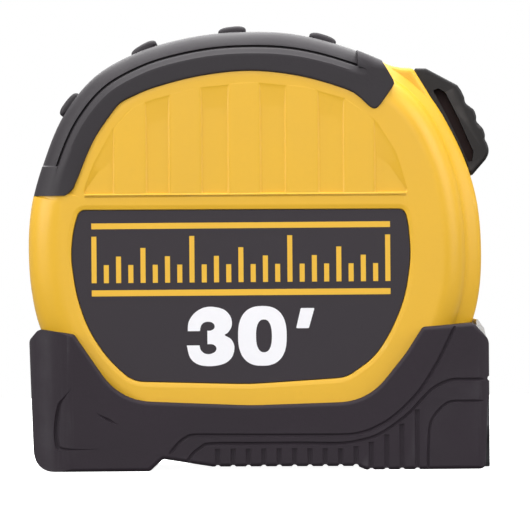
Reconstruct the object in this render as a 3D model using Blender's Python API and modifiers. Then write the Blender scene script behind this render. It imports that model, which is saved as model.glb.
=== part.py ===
"""A pocket tape measure with a 9 m (30 ft) steel blade, as an assembly of separate pieces.

The case is two yellow shells with black overmoulded grips and boots. Inside, the blade is wound
on a drum that a power spring turns back. A thumb button slides round the case's front and swings
a lock lever down on the blade. A belt clip of spring steel is screwed to the rear shell.

Case coordinates, in millimetres: X points out of the blade's mouth, Z up, and Y to the rear,
with Y = 0 on the parting plane between the shells and X = 0 under the reel's axis. One empty
carries them to the origin, which is the middle of the bounding box's bottom.
"""

import math

import bmesh
import bpy
from mathutils import Vector

MM = 0.001

# Driving dimensions, in millimetres
REEL_Z = 42.0  # the reel's axis above the base
FACE_Y = 20.5  # half the case's thickness at its yellow faces
RIM = 7.0  # rounding of the faces into the case's edge
PARTING = 0.15  # half the gap between the two halves
GAP = 0.3  # clearance between pieces that touch
WALL = 2.4
GRIP_T = 1.5  # thickness of the overmoulded grip
BOOT_Y = 22.6  # half the boot's thickness
BLADE_W = 28.6
BLADE_T = 0.3
BLADE_Z = 10.4  # underside of the blade at its middle
CUP_RISE = 2.4  # how far the blade's edges stand above its middle
COIL_R = (18.8, 28.8)
DRUM_R = 18.5
FLANGE_R = 24.0
ARBOR_R = 4.6
HOOK_T = 1.1
HOOK_X = 43.0  # inner face of the hook at rest
BLADE_START = -16.0
TRACK_R = 42.6  # the thumb button slides on a round track about the reel's axis
TRACK_HALF = 9.8
BUTTON_HALF = 9.3
LEVER_R = (35.0, 37.3)
LEVER_HALF = 6.0
STEM_HALF = 4.0
NOSE_HALF = 14.2  # half the width of the pale block over the mouth
CLIP_T = 1.0
CLIP_HALF = 9.0
CLIP_GAP = 4.7  # from the rear face to the clip's arm
CLIP_HINGE = (21.3, 56.9)  # y and z of the bend that the clip's arm flexes at
FRAME_OFFSET = (-0.4, -2.45, 0.0)
SCREWS = {"1": (-35.0, 9.0), "2": (22.0, 5.7), "3": (-28.8, 70.9), "4": (17.0, 75.6)}
RIVETS = {"1": (35.2, 0.0), "2": (38.8, -5.0), "3": (38.8, 5.0)}

# The case's edge about the reel's axis: angle in degrees from +X, and radius.
SILHOUETTE = [
    (0, 42.8), (15, 43.0), (30, 43.3), (41, 43.9), (50, 43.6), (58, 42.6), (68, 41.8),
    (80, 41.4), (93, 41.3), (108, 42.2), (122, 43.8), (133, 44.9), (145, 44.6),
    (157, 43.7), (168, 43.5), (181, 43.3), (190, 43.5), (200, 43.8), (222, 43.0),
    (250, 40.3), (270, 39.4), (290, 40.3), (318, 43.0), (341, 43.4),
]  # fmt: skip
# Flat outlines as corners: x, z and corner radius.
BASE_BOX = [(-40.4, 2.3, 3), (41.3, 2.3, 2), (41.3, 26.0, 2), (-40.4, 26.0, 2)]
BOOT = [
    (-41.3, 27.0, 1.5), (-43.3, 24.8, 1.5), (-42.4, 0, 4.5), (-20.4, 0, 1.2),
    (-17.9, 2.3, 0.6), (-8.6, 0.8, 1.0), (18.8, 0.7, 0.6), (20.4, 0, 0.6), (43.6, 0, 1.0),
    (43.8, 24.4, 2.5), (40.9, 27.6, 1.0), (31.3, 26.9, 1.0), (20.8, 12.9, 12),
    (-1.4, 12.3, 60), (-26.0, 13.4, 12), (-34.6, 26.0, 1.0),
]  # fmt: skip
GRIP = [
    (-44.5, 52.2, 0.5), (-36.0, 52.2, 1.2), (-33.4, 54.6, 2.0), (-30.4, 63.0, 30),
    (-25.4, 70.0, 2.5), (-12.0, 74.4, 25), (0.0, 75.5, 45), (12.0, 73.8, 25),
    (19.0, 70.7, 5.0), (22.2, 67.8, 1.2), (26.7, 72.5, 1.2), (23.6, 78.5, 0.5),
    (20, 90, 0.5), (-46, 90, 0.5),
]  # fmt: skip
LABEL = [
    (-33.3, 49.4, 1.6), (-35.2, 41.5, 30), (-32.4, 27.5, 40), (-21.5, 16.7, 9),
    (-1.4, 16.1, 60), (16.6, 16.9, 9), (27.6, 28.5, 40), (29.6, 41.5, 30),
    (27.6, 49.2, 1.6),
]  # fmt: skip
HORN = [
    (20.0, 73.0, 1), (24.2, 77.0, 1.5), (27.6, 76.1, 1.5), (30.0, 76.2, 0.8),
    (34.0, 69.6, 5), (37.2, 63.8, 1), (33.5, 62.0, 1),
]  # fmt: skip


def clear_scene():
    for obj in list(bpy.data.objects):
        bpy.data.objects.remove(obj, do_unlink=True)


def new_collection(name):
    made = bpy.data.collections.new(name)
    bpy.context.scene.collection.children.link(made)
    return made


clear_scene()
PARTS = new_collection("tape_measure")
CUTTERS = new_collection("cutters")


def plastic(name, colour, roughness, metallic=0.0):
    """A Principled material of one colour."""
    made = bpy.data.materials.new(name)
    made.use_nodes = True
    shader = made.node_tree.nodes["Principled BSDF"]
    shader.inputs["Base Color"].default_value = (*colour, 1)
    shader.inputs["Roughness"].default_value = roughness
    shader.inputs["Metallic"].default_value = metallic
    return made


YELLOW = plastic("yellow_abs", (0.83, 0.49, 0.05), 0.4)
RUBBER = plastic("black_rubber", (0.05, 0.045, 0.05), 0.65)
BLACK = plastic("black_plastic", (0.035, 0.033, 0.035), 0.45)
LABEL_INK = plastic("label_print", (0.055, 0.05, 0.058), 0.35)
NYLON = plastic("natural_nylon", (0.75, 0.73, 0.68), 0.5)
STEEL = plastic("spring_steel", (0.45, 0.46, 0.48), 0.3, 1.0)
BLADE = plastic("blade_coating", (0.86, 0.72, 0.13), 0.35)
BLACKENED = plastic("blackened_steel", (0.03, 0.03, 0.032), 0.35, 1.0)


# Outlines


def polar(radius, degrees, centre_z=REEL_Z):
    """A point at that radius and angle about the reel's axis."""
    angle = math.radians(degrees)
    return radius * math.cos(angle), centre_z + radius * math.sin(angle)


def arc(radius, start, end, steps):
    """Points on an arc about the reel's axis, from one angle to another in degrees."""
    return [polar(radius, start + (end - start) * i / steps) for i in range(steps + 1)]


def rounded(corners):
    """The outline of a polygon whose corners are rounded to the radii given with them."""
    outline = []
    for i, (x, z, radius) in enumerate(corners):
        here = Vector((x, z))
        back = Vector(corners[i - 1][:2]) - here
        ahead = Vector(corners[(i + 1) % len(corners)][:2]) - here
        half = back.angle(ahead) / 2
        reach = min(radius / math.tan(half), 0.48 * back.length, 0.48 * ahead.length)
        if reach < 0.05:
            outline.append((x, z))
            continue
        start, end = here + back.normalized() * reach, here + ahead.normalized() * reach
        steps = max(1, math.ceil(math.degrees(math.pi - 2 * half) / 18))
        for step in range(steps + 1):
            t = step / steps
            point = start * (1 - t) ** 2 + here * (2 * t * (1 - t)) + end * t**2
            outline.append(tuple(point))
    return outline


def edge_radius(degrees):
    """The case's radius at an angle, by a cubic through SILHOUETTE."""
    degrees %= 360
    count = len(SILHOUETTE)
    knots = [
        (angle + 360 * turn, radius) for turn in (-1, 0, 1) for angle, radius in SILHOUETTE
    ]
    i = max(k for k in range(count - 1, 2 * count + 1) if knots[k][0] <= degrees)
    (a0, r0), (a1, r1), (a2, r2), (a3, r3) = knots[i - 1 : i + 3]
    span = a2 - a1
    slope1, slope2 = (r2 - r0) / (a2 - a0) * span, (r3 - r1) / (a3 - a1) * span
    t = (degrees - a1) / span
    return (
        (2 * t**3 - 3 * t**2 + 1) * r1
        + (t**3 - 2 * t**2 + t) * slope1
        + (3 * t**2 - 2 * t**3) * r2
        + (t**3 - t**2) * slope2
    )


def case_outline(inset=0.0, limit=100.0, steps=60):
    """The case's edge, moved in by inset and kept within limit of the reel's axis."""
    angles = [360 * i / steps for i in range(steps)]
    return [polar(min(edge_radius(angle) - inset, limit), angle) for angle in angles]


# Shapes


def as_mesh(obj):
    """The curve object as a mesh in case coordinates, its caps welded and each flat one face."""
    bpy.context.view_layer.update()
    evaluated = obj.evaluated_get(bpy.context.evaluated_depsgraph_get())
    mesh = bpy.data.meshes.new_from_object(evaluated)
    mesh.transform(obj.matrix_world)
    name, curve = obj.name, obj.data
    bpy.data.objects.remove(obj)
    bpy.data.curves.remove(curve)
    shape = bmesh.new()
    shape.from_mesh(mesh)
    bmesh.ops.remove_doubles(shape, verts=shape.verts, dist=1e-6)
    bmesh.ops.dissolve_limit(
        shape, angle_limit=0.002, verts=shape.verts, edges=shape.edges
    )
    bmesh.ops.recalc_face_normals(shape, faces=shape.faces)
    shape.to_mesh(mesh)
    shape.free()
    return bpy.data.objects.new(name, mesh)


def prism(name, outline, low, high, along="Y"):
    """A flat outline made into a solid from low to high along an axis.

    Along Y the outline is x and z, along X it is y and z, and along Z it is x and y.
    """
    curve = bpy.data.curves.new(name, "CURVE")
    curve.dimensions = "2D"
    curve.fill_mode = "BOTH"
    curve.extrude = (high - low) / 2 * MM
    spline = curve.splines.new("POLY")
    spline.points.add(len(outline) - 1)
    spline.use_cyclic_u = True
    for point, (u, v) in zip(spline.points, outline):
        point.co = (u * MM, v * MM, 0, 1)
    obj = bpy.data.objects.new(name, curve)
    middle = (low + high) / 2 * MM
    quarter = math.pi / 2
    turns = {"X": (quarter, 0, quarter), "Y": (quarter, 0, 0), "Z": (0, 0, 0)}
    obj.rotation_euler = turns[along]
    obj.location["XYZ".index(along)] = middle
    CUTTERS.objects.link(obj)
    return as_mesh(obj)


def turned(name, profile, centre, along="Y", steps=32):
    """A profile of radius and height turned about an axis through centre.

    The profile runs down its outer side; a closed profile is a ring, and an open one starts and
    ends on the axis. Height runs along +Y or +Z.
    """
    mesh = bpy.data.meshes.new(name)
    closed = profile[0][0] > 0 and profile[-1][0] > 0
    count = len(profile)
    edges = [(i, (i + 1) % count) for i in range(count if closed else count - 1)]
    mesh.from_pydata([(r * MM, 0, h * MM) for r, h in profile], edges, [])
    obj = bpy.data.objects.new(name, mesh)
    screw = obj.modifiers.new("turn", "SCREW")
    screw.steps = screw.render_steps = steps
    screw.use_merge_vertices = True
    screw.merge_threshold = 1e-5
    obj.rotation_euler = (-math.pi / 2, 0, 0) if along == "Y" else (0, 0, 0)
    obj.location = Vector(centre) * MM
    return obj


def rod(name, radius, low, high, x, z, steps=20):
    """A plain cylinder along Y."""
    profile = [(0, high), (radius, high), (radius, low), (0, low)]
    return turned(name, profile, (x, 0, z), steps=steps)


def post(name, radius, low, high, x, y, steps=16):
    """A plain cylinder along Z."""
    profile = [(0, high), (radius, high), (radius, low), (0, low)]
    return turned(name, profile, (x, y, 0), "Z", steps)


def round_rim(obj, face, radius, segments=3):
    """Rounds the edges that lie on the plane Y = face."""
    shape = bmesh.new()
    shape.from_mesh(obj.data)
    weight = shape.edges.layers.float.new("bevel_weight_edge")
    for edge in shape.edges:
        edge[weight] = all(abs(v.co.y - face * MM) < 1e-6 for v in edge.verts)
    shape.to_mesh(obj.data)
    shape.free()
    bevel = obj.modifiers.new("rim", "BEVEL")
    bevel.limit_method = "WEIGHT"
    bevel.width = radius * MM
    bevel.segments = segments
    return obj


def helper(obj):
    """Keeps an object as a cutter or a joined shape, out of the render."""
    if obj.name not in CUTTERS.objects:
        CUTTERS.objects.link(obj)
    obj.hide_render = True
    obj.display_type = "WIRE"
    return obj


def boolean(obj, operation, *others):
    for other in others:
        modifier = obj.modifiers.new(operation.lower(), "BOOLEAN")
        modifier.operation = operation
        modifier.object = helper(other)
    return obj


def cut(obj, *others):
    return boolean(obj, "DIFFERENCE", *others)


def join(obj, *others):
    return boolean(obj, "UNION", *others)


def keep(obj, *others):
    return boolean(obj, "INTERSECT", *others)


def piece(obj, material, body):
    """Puts a finished piece in the assembly, with its material, on the empty of its body."""
    obj.data.materials.clear()
    obj.data.materials.append(material)
    PARTS.objects.link(obj)
    obj.parent = body
    obj.matrix_parent_inverse = body.matrix_world.inverted()
    if obj.type == "MESH":
        obj.data.shade_smooth()
        obj.data.set_sharp_from_angle(angle=math.radians(35))
    return obj


def body_empty(name, place, parent=None):
    empty = bpy.data.objects.new(name, None)
    PARTS.objects.link(empty)
    empty.empty_display_size = 0.01
    empty.location = Vector(place) * MM
    if parent:
        empty.parent = parent
        empty.matrix_parent_inverse = parent.matrix_world.inverted()
    bpy.context.view_layer.update()
    return empty


# The case


def case_form(name, side, inset=0.0, face=FACE_Y, limit=100.0, rim=RIM, near=-1.0):
    """One half of the case's rounded body: side is -1 at the front and 1 at the rear.

    It runs past the parting plane, where trim() ends it.
    """
    obj = prism(name, case_outline(inset, limit), *between(side, near, face))
    return round_rim(obj, side * face, rim)


def base_form(name, side, outset=0.0, near=-1.0):
    """The square lower part of one half, which the boot covers."""
    corners = [
        (x + outset * math.copysign(1, x), z + outset * (1 if z > 9 else -1), r)
        for x, z, r in BASE_BOX
    ]
    return prism(name, rounded(corners), *between(side, near, FACE_Y - 0.3 + outset))


def trim(obj, side):
    """Ends a half at its side of the parting plane."""
    beyond = [(-60, -10), (60, -10), (60, 100), (-60, 100)]
    return cut(obj, prism(obj.name + "_parting", beyond, *between(side, -40, PARTING)))


def between(side, near, far):
    """Two distances from the parting plane as Y, low to high, on that side."""
    return sorted((side * near, side * far))


def shell(side, name):
    """One yellow half: hollow, with screw bosses, an arbor socket and recesses for its skins."""
    obj = case_form(name, side)
    horn = prism(name + "_horn", rounded(HORN), *between(side, TRACK_HALF + 0.4, 14.6))
    join(obj, base_form(name + "_base", side), horn)

    inner_y = FACE_Y - WALL - 0.2
    cavity = case_form(name + "_cavity", side, GRIP_T + WALL, inner_y, 39.9, 2.5, -2.0)
    under = rounded([(-37.6, 4.6, 2), (39.0, 4.6, 1), (39.0, 30, 1), (-37.6, 30, 1)])
    cut(obj, cavity, prism(name + "_under", under, *between(side, -2.2, inner_y - 0.3)))

    for key, (x, z) in SCREWS.items():
        boss = rod(f"{name}_boss_{key}", 2.9, *between(side, -1.3, inner_y + 0.5), x, z)
        join(obj, boss)
    socket = [(7.4, inner_y + 0.5), (7.4, 15.9), (5.0, 15.9), (5.0, inner_y + 0.5)]
    if side < 0:
        socket = [(r, -y) for r, y in reversed(socket)]
    join(obj, turned(name + "_socket", socket, (0, 0, REEL_Z)))

    track = arc(TRACK_R, 8.5, 49.5, 10) + arc(60, 49.5, 8.5, 10)
    slot = arc(38, 16.5, 40.5, 6) + arc(60, 40.5, 16.5, 6)
    mouth = rounded([(36, 8.0, 0.5), (50, 8.0, 0.5), (50, 17.0, 0.5), (36, 17.0, 0.5)])
    cut(
        obj,
        prism(name + "_track", track, *between(side, -2.5, TRACK_HALF)),
        prism(name + "_slot", slot, *between(side, -2.7, STEM_HALF + 0.5)),
        prism(name + "_mouth", mouth, *between(side, -2.9, BLADE_W / 2 + 1.2)),
    )

    grip_region = prism(name + "_grip_region", rounded(GRIP), *between(side, -3, 30))
    kept = case_form(
        name + "_under_grip", side, GRIP_T, FACE_Y - GRIP_T, 100, RIM - GRIP_T, -4.0
    )
    cut(grip_region, kept)
    label_recess = prism(
        name + "_label_recess", grown(LABEL, 0.25), *between(side, FACE_Y - 0.9, 30)
    )
    cut(obj, grip_region, label_recess)
    trim(obj, side)
    for key, (x, z) in SCREWS.items():
        if side > 0:
            cut(obj, rod(f"{name}_hole_{key}", 1.6, -3, 30, x, z))
            cut(obj, rod(f"{name}_counterbore_{key}", 3.0, 18.6, 30, x, z))
        else:
            cut(obj, rod(f"{name}_pilot_{key}", 1.5, -13.0, 3, x, z))
    return obj


def grown(corners, by):
    """The outline of rounded corners, moved out by a distance about its middle."""
    outline = rounded(corners)
    made = []
    for i, point in enumerate(outline):
        along = Vector(outline[(i + 1) % len(outline)]) - Vector(outline[i - 1])
        out = Vector((along.y, -along.x)).normalized() * by
        made.append((point[0] + out.x, point[1] + out.y))
    inward = sum(x * z2 - x2 * z for (x, z), (x2, z2) in zip(outline, outline[1:] + outline[:1]))
    if inward > 0:
        return made
    return [(2 * x - u, 2 * z - v) for (x, z), (u, v) in zip(outline, made)]


def top_grip(side, name):
    """The overmoulded grip over the top, with the raised bars across it."""
    obj = case_form(name, side)
    keep(obj, prism(name + "_region", grown(GRIP, -0.2), *between(side, -2, 30)))
    core = case_form(
        name + "_core", side, GRIP_T - GAP, FACE_Y - GRIP_T + GAP, 100, RIM - GRIP_T, -3.0
    )
    cut(obj, core)
    for number, angle in enumerate((72.0, 96.0, 119.0, 142.0)):
        bar = rounded([(-2.4, -0.4, 0.2), (2.4, -0.4, 0.2), (2.4, 1.0, 0.9), (-2.4, 1.0, 0.9)])
        x, z = polar(edge_radius(angle), angle)
        turn = math.radians(angle - 90)
        placed = [
            (x + u * math.cos(turn) - v * math.sin(turn), z + u * math.sin(turn) + v * math.cos(turn))
            for u, v in bar
        ]
        join(obj, prism(f"{name}_bar_{number}", placed, *between(side, -0.7, 12.5)))
    if side > 0:
        for key in ("3", "4"):
            x, z = SCREWS[key]
            cut(obj, rod(f"{name}_hole_{key}", 2.9, 10, 30, x, z))
    return trim(obj, side)


def boot(side, name):
    """The black shoe round the base, open at the blade's mouth."""
    obj = prism(name, rounded(BOOT), *between(side, -1, BOOT_Y))
    round_rim(obj, side * BOOT_Y, 0.8, 2)
    footprint = [
        (-43.6, -BOOT_Y - 0.1, 6.5), (43.95, -BOOT_Y - 0.1, 2.0),
        (43.95, BOOT_Y + 0.1, 2.0), (-43.6, BOOT_Y + 0.1, 6.5),
    ]  # fmt: skip
    keep(obj, prism(name + "_footprint", rounded(footprint), -1, 40, along="Z"))
    recess = rounded([(42.6, -1, 0.2), (50, -1, 0.2), (50, 17.2, 0.5), (42.6, 17.2, 0.5)])
    mouth = rounded([(36, 8.0, 0.5), (50, 8.0, 0.5), (50, 17.0, 0.5), (36, 17.0, 0.5)])
    notch = rounded([(41.4, 16.8, 0.2), (50, 16.8, 0.2), (50, 32, 0.2), (41.4, 32, 0.2)])
    cut(
        obj,
        case_form(name + "_body", side, -GAP, FACE_Y + GAP, 100, RIM, -2.0),
        base_form(name + "_box", side, GAP, -2.2),
        prism(name + "_hook_recess", recess, *between(side, -2.4, BLADE_W / 2 + 0.9)),
        prism(name + "_mouth", mouth, *between(side, -2.6, BLADE_W / 2 + 1.2)),
        prism(name + "_notch", notch, *between(side, -2.8, NOSE_HALF + GAP)),
    )
    if side > 0:
        for key in ("1", "2"):
            x, z = SCREWS[key]
            cut(obj, rod(f"{name}_hole_{key}", 2.9, 10, 30, x, z))
    return trim(obj, side)


def label(side, name):
    return prism(name, rounded(LABEL), *between(side, FACE_Y - 0.6, FACE_Y - 0.3))


def case_screw(key):
    """A pan-head screw along Y, from the rear shell into the front shell's boss."""
    x, z = SCREWS[key]
    profile = [(0, 20.2), (1.6, 20.2), (2.5, 19.7), (2.5, 18.9), (1.2, 18.9), (1.2, -11.5), (0, -12.5)]
    obj = turned("case_screw_" + key, profile, (x, 0, z), steps=16)
    return cut(obj, *cross_slots(obj.name, x, 20.2, z))


def cross_slots(name, x, y, z, reach=1.5, depth=0.7):
    """Two narrow boxes that cut a cross recess in a screw's head."""
    wide = [(x - reach, z - 0.3), (x + reach, z - 0.3), (x + reach, z + 0.3), (x - reach, z + 0.3)]
    tall = [(x - 0.3, z - reach), (x + 0.3, z - reach), (x + 0.3, z + reach), (x - 0.3, z + reach)]
    return [
        prism(f"{name}_slot_{i}", outline, y - depth, y + 1) for i, outline in enumerate((wide, tall))
    ]


def arbor():
    """The fixed post that the drum turns on and the spring's inner end hooks into."""
    obj = rod("spring_arbor", ARBOR_R, -17.7, 17.7, 0, REEL_Z, 24)
    slit = [(-0.6, REEL_Z), (0.6, REEL_Z), (0.6, REEL_Z + 9), (-0.6, REEL_Z + 9)]
    return cut(obj, prism("arbor_slit", slit, -13.5, 30))


def mouth_bumper():
    """The rubber block under the blade that takes the hook's blow when the blade runs in."""
    outline = rounded([(30.0, 4.9, 0.5), (38.7, 4.9, 0.5), (38.7, 7.7, 0.5), (30.0, 7.7, 2)])
    return prism("mouth_bumper", outline, -14.6, 14.6)


def nose_insert():
    """The pale block over the mouth, held between the two boots."""
    outline = rounded(
        [(41.7, 17.6, 0.3), (43.6, 17.6, 0.4), (43.6, 24.4, 1.0), (43.2, 26.4, 0.8), (41.7, 28.6, 0.3)]
    )
    return prism("nose_insert", outline, -NOSE_HALF, NOSE_HALF)


# The reel


def drum():
    """The drum's hub and its front flange, with a bore that runs on the arbor."""
    half = BLADE_W / 2
    bore = ARBOR_R + GAP
    profile = [
        (DRUM_R, half), (DRUM_R, -half - 0.3), (FLANGE_R, -half - 0.3),
        (FLANGE_R, -half - 1.2), (bore, -half - 1.2), (bore, -half - 0.1),
        (17.0, -half - 0.1), (17.0, half),
    ]  # fmt: skip
    return turned("drum", profile, (0, 0, REEL_Z), steps=40)


def drum_cover():
    """The disc that closes the spring's chamber."""
    half = BLADE_W / 2
    bore = ARBOR_R + GAP
    profile = [
        (FLANGE_R, half + 1.2), (FLANGE_R, half + 0.3), (16.7, half + 0.3),
        (16.7, half - 1.0), (15.6, half - 1.0), (15.6, half + 0.3), (bore, half + 0.3),
        (bore, half + 1.2),
    ]  # fmt: skip
    return turned("drum_cover", profile, (0, 0, REEL_Z), steps=40)


def blade_coil():
    """The wound blade, as the ring that its turns fill."""
    half = BLADE_W / 2
    inner, outer = COIL_R
    profile = [(outer, half), (outer, -half), (inner, -half), (inner, half)]
    return turned("blade_coil", profile, (0, 0, REEL_Z), steps=64)


def spring_radius(turns):
    """The power spring's radius after that many turns from its outer end."""
    packed, pitch, outer = 10.0, 0.5, 16.5
    if turns <= packed:
        return outer - pitch * turns
    inner, loose = ARBOR_R + 0.7, 2.0
    t = (turns - packed) / loose
    start = outer - pitch * packed
    return start + (inner - start) * t


def power_spring():
    """The flat spiral spring in the drum: turns packed against the hub, then open ones."""
    thickness, turns, per_turn = 0.2, 12.0, 20
    count = int(turns * per_turn)
    path = [(spring_radius(i / per_turn), 90 + 360 * i / per_turn) for i in range(count + 1)]
    outline = [polar(r, a) for r, a in path]
    outline += [polar(r - thickness, a) for r, a in reversed(path)]
    return prism("power_spring", outline, -12.5, 12.5)


# The blade and its hook


def cup(y):
    """How far the cupped blade stands above its middle at a distance across it."""
    return CUP_RISE * (y / (BLADE_W / 2)) ** 2


def cupped_strip(name, half_width, low, thickness, start, end, steps=8):
    """A strip along X with the blade's cup, its underside low above the base at its middle."""
    across = [half_width * (2 * i / steps - 1) for i in range(steps + 1)]
    outline = [(y, low + cup(y)) for y in across]
    outline += [(y, low + cup(y) + thickness) for y in reversed(across)]
    return prism(name, outline, start, end, along="X")


def blade():
    """The free end of the blade, from under the coil to the hook."""
    obj = cupped_strip("blade", BLADE_W / 2, BLADE_Z, BLADE_T, BLADE_START, HOOK_X - GAP)
    for key, (x, y) in RIVETS.items():
        cut(obj, post(f"blade_hole_{key}", 1.3, 5, 20, x, y))
    return obj


def end_hook():
    """The sliding end hook: a plate across the mouth and a slotted tang under the blade."""
    plate = [
        (-13.4, 0.1, 1.5), (13.4, 0.1, 1.5), (13.9, 8.0, 1.5), (12.2, 14.0, 1.2), (8.6, 14.0, 1.0),
        (7.4, 11.6, 1.0), (-7.4, 11.6, 1.0), (-8.6, 14.0, 1.0), (-12.2, 14.0, 1.2), (-13.9, 8.0, 1.5),
    ]  # fmt: skip
    obj = prism("end_hook", rounded(plate), HOOK_X, HOOK_X + HOOK_T, along="X")
    tang_low = BLADE_Z - GAP - 1.0
    join(obj, cupped_strip("hook_tang", 8.0, tang_low, 1.0, 27.0, HOOK_X + 0.4))
    travel = HOOK_T
    for key, (x, y) in RIVETS.items():
        slot = rounded(
            [(x - travel - 1.3, y - 1.3, 1.2), (x + 1.3, y - 1.3, 1.2),
             (x + 1.3, y + 1.3, 1.2), (x - travel - 1.3, y + 1.3, 1.2)]
        )  # fmt: skip
        cut(obj, prism(f"hook_slot_{key}", slot, 5, 20, along="Z"))
    nail_slot = rounded([(-1.2, 3.0, 1.1), (1.2, 3.0, 1.1), (1.2, 6.4, 1.1), (-1.2, 6.4, 1.1)])
    return cut(obj, prism("hook_nail_slot", nail_slot, 40, 50, along="X"))


def hook_rivet(key):
    """A rivet fixed in the blade, whose lower head carries the hook's tang."""
    x, y = RIVETS[key]
    middle = BLADE_Z + cup(y)
    top, bottom = middle + BLADE_T + GAP + 0.2, middle - 2 * GAP - 1.1
    profile = [
        (0, top + 0.6), (1.4, top + 0.5), (2.0, top), (1.0, top), (1.0, bottom),
        (2.0, bottom), (1.6, bottom - 0.5), (0, bottom - 0.5),
    ]  # fmt: skip
    return turned("hook_rivet_" + key, profile, (x, y, 0), "Z", 16)


# The lock


def button_outline():
    """The thumb button's side: a steep front with three stepped ridges, on the round track."""
    outline = [(31.1, 76.1), (32.2, 76.1), (39.1, 72.5)]
    bump, step = Vector((39.9, 70.5)), Vector((1.6, -3.5))
    for _ in range(3):
        outline += [tuple(bump), tuple(bump + Vector((-0.1, -0.9)))]
        outline.append(tuple(bump + Vector((0.9, -2.0))))
        bump += step
    outline += [(44.2, 59.6), (43.8, 58.6), (41.6, 56.0)]
    return outline + arc(TRACK_R + GAP, 19.5, 46.5, 10)


def thumb_button():
    obj = prism("thumb_button", button_outline(), -BUTTON_HALF, BUTTON_HALF)
    pocket = arc(41, 28.9, 37.1, 3) + arc(45.2, 37.1, 28.9, 3)
    return cut(obj, prism("button_pocket", pocket, -STEM_HALF - GAP, STEM_HALF + GAP))


def lock_lever():
    """The curved lever behind the case's front: a stem in the button and a toe over the blade."""
    inner, outer = LEVER_R
    toe = [(36.9, 21.0), (36.2, 17.0), (34.0, 16.6), (32.4, 18.2), (32.2, 24.4)]
    outline = arc(outer, 41, -22, 12) + toe + arc(inner, -22, 41, 12)
    obj = prism("lock_lever", outline, -LEVER_HALF, LEVER_HALF)
    stem = arc(outer - 1.5, 29.4, 36.6, 3) + arc(44.9, 36.6, 29.4, 3)
    return join(obj, prism("lever_stem", stem, -STEM_HALF, STEM_HALF))


# The belt clip


def clip_plate():
    """The clip's leaf under its screw."""
    low, high = FACE_Y + GAP, FACE_Y + GAP + CLIP_T
    outline = rounded([(-9, 57.0, 0.3), (9, 57.0, 0.3), (9, 70.0, 4), (-9, 70.0, 4)])
    obj = prism("belt_clip_plate", outline, low, high)
    return cut(obj, rod("clip_plate_hole", 1.9, 10, 30, 0, 63.0))


def clip_arm():
    """The clip's arm: it steps out from the leaf, runs down and flares at its free end."""
    near, far = FACE_Y + CLIP_GAP, FACE_Y + CLIP_GAP + CLIP_T
    low = FACE_Y + GAP
    outline = [
        (low, 56.7), (low, 56.0), (near, 51.2), (near, 18.0), (27.0, 12.0), (27.9, 12.4),
        (far, 18.4), (far, 51.8), (low + CLIP_T, 56.6), (low + CLIP_T, 56.7),
    ]  # fmt: skip
    return prism("belt_clip_arm", outline, -CLIP_HALF, CLIP_HALF, along="X")


def clip_screw():
    profile = [(0, 23.9), (2.0, 23.9), (3.2, 23.2), (3.2, 22.1), (1.5, 22.1), (1.5, 18.7), (0, 18.7)]
    obj = turned("belt_clip_screw", profile, (0, 0, 63.0), steps=20)
    return cut(obj, *cross_slots(obj.name, 0, 23.9, 63.0, 1.9, 0.9))


def assemble():
    case = body_empty("case_body", (0, 0, 0))
    reel = body_empty("reel_body", (0, 0, REEL_Z), case)
    lock = body_empty("lock_body", (0, 0, REEL_Z), case)
    strip = body_empty("blade_body", (HOOK_X, 0, BLADE_Z), case)
    hook = body_empty("hook_body", (HOOK_X, 0, BLADE_Z), strip)
    clip = body_empty("clip_body", (0, *CLIP_HINGE), case)

    for side, end in ((-1, "front"), (1, "rear")):
        half = shell(side, end + "_shell")
        if side > 0:
            cut(half, rod("clip_screw_hole", 1.8, 10, 30, 0, 63.0))
        piece(half, YELLOW, case)
        piece(top_grip(side, end + "_top_grip"), RUBBER, case)
        piece(boot(side, end + "_base_boot"), RUBBER, case)
        badge = label(side, end + "_label")
        piece(badge, LABEL_INK, case)
    for key in SCREWS:
        piece(case_screw(key), BLACKENED, case)
    piece(arbor(), STEEL, case)
    piece(mouth_bumper(), RUBBER, case)
    piece(nose_insert(), NYLON, case)
    piece(clip_plate(), BLACKENED, case)
    piece(clip_screw(), BLACKENED, case)
    piece(clip_arm(), BLACKENED, clip)

    piece(drum(), NYLON, reel)
    piece(drum_cover(), NYLON, reel)
    piece(blade_coil(), BLADE, reel)
    piece(power_spring(), STEEL, reel)

    piece(blade(), BLADE, strip)
    for key in RIVETS:
        piece(hook_rivet(key), STEEL, strip)
    piece(end_hook(), BLACKENED, hook)

    piece(thumb_button(), BLACK, lock)
    piece(lock_lever(), BLACK, lock)
    for obj in CUTTERS.objects:
        obj.parent = case
    case.location = Vector(FRAME_OFFSET) * MM


assemble()
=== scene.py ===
"""Looks for the pocket tape measure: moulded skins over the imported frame, materials, light, camera.

Shapes are worked out in case coordinates, in millimetres: X out of the mouth, Z up, y outwards
from the parting plane on either side, with X = 0 and Z = 42 on the reel's axis.
"""

import math

import bmesh
import bpy
import numpy as np
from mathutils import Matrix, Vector
from mathutils.geometry import tessellate_polygon

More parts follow.
